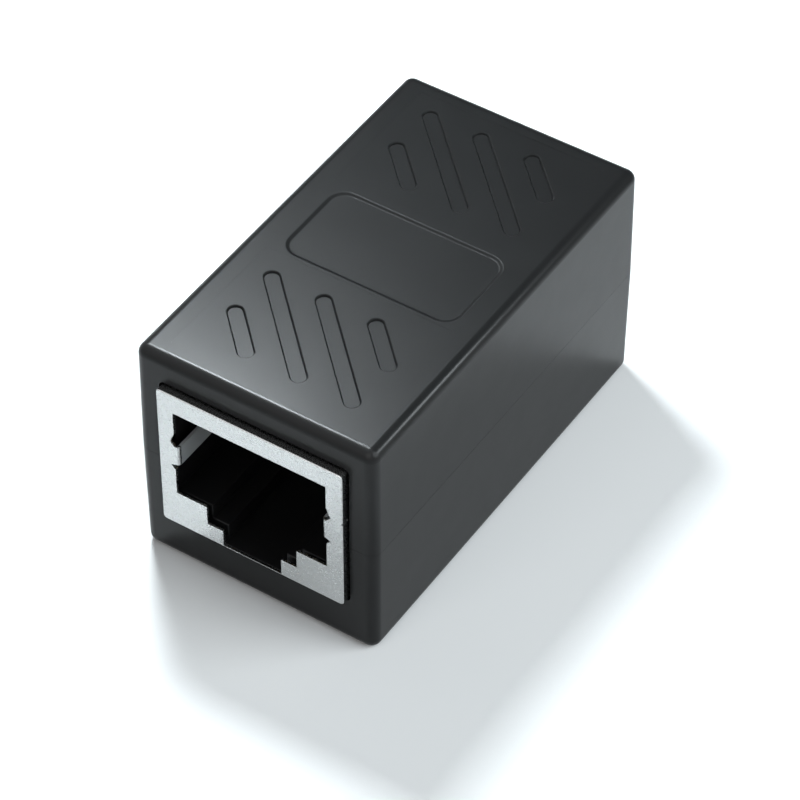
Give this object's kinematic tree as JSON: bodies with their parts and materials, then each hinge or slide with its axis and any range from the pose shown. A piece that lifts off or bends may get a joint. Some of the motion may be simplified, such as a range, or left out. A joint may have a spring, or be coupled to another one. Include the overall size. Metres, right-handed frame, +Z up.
{
  "type": "network cable inline coupler",
  "caption": "Small two-part black box with a metal-faced network plug socket in each end, joining two patch cables in line through contacts and a circuit board.",
  "frame": {"origin": "middle of the underside, where the coupler rests", "axes": "+X across the width, +Y along the length towards the rear socket, +Z up; the front socket faces -Y and both plug latches are at the bottom"},
  "size_m": [0.0188, 0.034, 0.0186],
  "materials": {
    "shell_plastic": "fine satin moulded surface",
    "shield_metal": "nickel plated, finely grained",
    "jack_plastic": "matt moulded",
    "contact_metal": "gold plated spring wire",
    "board_laminate": "green solder mask",
    "solder_metal": "bright tin solder"
  },
  "bodies": {
    "root": {"upper_shell": "shell_plastic", "lower_shell": "shell_plastic", "circuit_board": "board_laminate", "solder_joints": "solder_metal", "front_shield": "shield_metal", "front_body": "jack_plastic", "front_carrier": "jack_plastic", "front_contact_1": "contact_metal", "front_contact_2": "contact_metal", "front_contact_3": "contact_metal", "front_contact_4": "contact_metal", "front_contact_5": "contact_metal", "front_contact_6": "contact_metal", "front_contact_7": "contact_metal", "front_contact_8": "contact_metal", "rear_shield": "shield_metal", "rear_body": "jack_plastic", "rear_carrier": "jack_plastic", "rear_contact_1": "contact_metal", "rear_contact_2": "contact_metal", "rear_contact_3": "contact_metal", "rear_contact_4": "contact_metal", "rear_contact_5": "contact_metal", "rear_contact_6": "contact_metal", "rear_contact_7": "contact_metal", "rear_contact_8": "contact_metal"}
  },
  "joints": []
}
